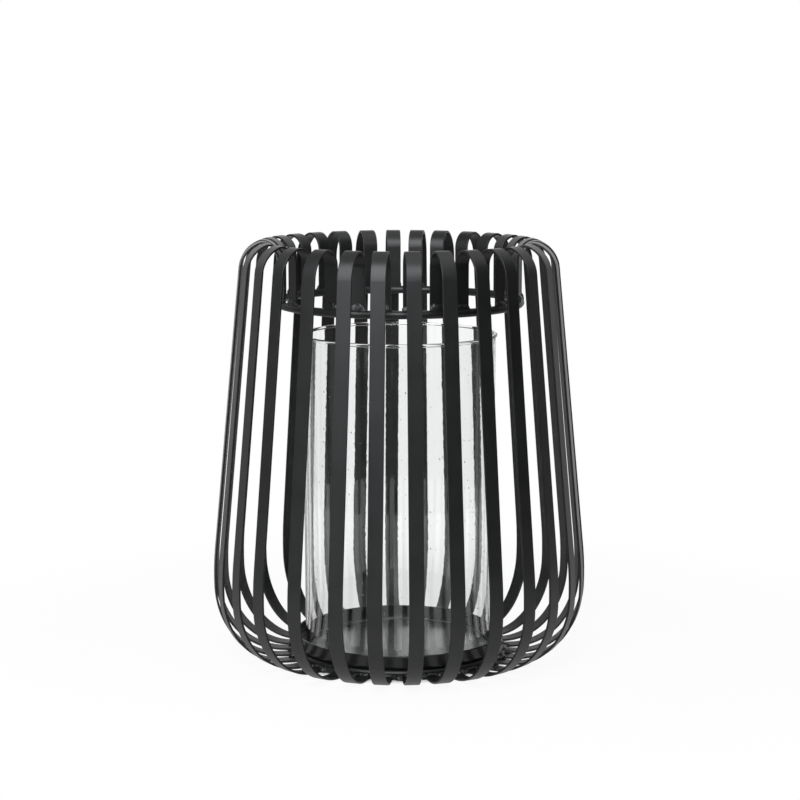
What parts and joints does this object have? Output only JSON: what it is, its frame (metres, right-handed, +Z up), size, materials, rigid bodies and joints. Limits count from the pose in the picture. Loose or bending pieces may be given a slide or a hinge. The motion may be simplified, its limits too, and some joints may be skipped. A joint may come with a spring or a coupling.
{
  "type": "hurricane candle lantern",
  "caption": "Open cage lantern of bent flat metal straps on wire rings, with a tray and a lift-out clear glass cylinder that shields a candle.",
  "frame": {"origin": "middle of the lantern on the surface it stands on", "axes": "+Z up along the axis of the cage and glass; -Y is the front, between strap_02 and strap_03"},
  "size_m": [0.2801, 0.28, 0.3133],
  "materials": {
    "strap_black": "satin black powder coat on mild steel flat bar",
    "wire_black": "satin black powder coat on round steel wire",
    "tray_black": "semi-gloss black paint on pressed sheet steel",
    "weld_black": "black coat over rough weld beads",
    "clear_glass": "clear blown glass with a few seeds and a fire-polished lip"
  },
  "bodies": {
    "cage": {"strap_01": "strap_black", "strap_02": "strap_black", "strap_03": "strap_black", "strap_04": "strap_black", "strap_05": "strap_black", "strap_06": "strap_black", "strap_07": "strap_black", "strap_08": "strap_black", "strap_09": "strap_black", "strap_10": "strap_black", "strap_11": "strap_black", "strap_12": "strap_black", "strap_13": "strap_black", "strap_14": "strap_black", "strap_15": "strap_black", "strap_16": "strap_black", "strap_17": "strap_black", "strap_18": "strap_black", "strap_19": "strap_black", "strap_20": "strap_black", "strap_21": "strap_black", "strap_22": "strap_black", "strap_23": "strap_black", "strap_24": "strap_black", "strap_25": "strap_black", "strap_26": "strap_black", "strap_27": "strap_black", "strap_28": "strap_black", "strap_29": "strap_black", "strap_30": "strap_black", "crown_ring": "wire_black", "base_ring": "wire_black", "tray": "tray_black", "crown_welds": "weld_black", "base_welds": "weld_black"},
    "glass": {"glass_cylinder": "clear_glass"}
  },
  "joints": [
    {"name": "glass_lift", "type": "slide", "parent": "cage", "child": "glass", "axis": [0, 0, 1], "range_m": [0, 0.31]}
  ]
}
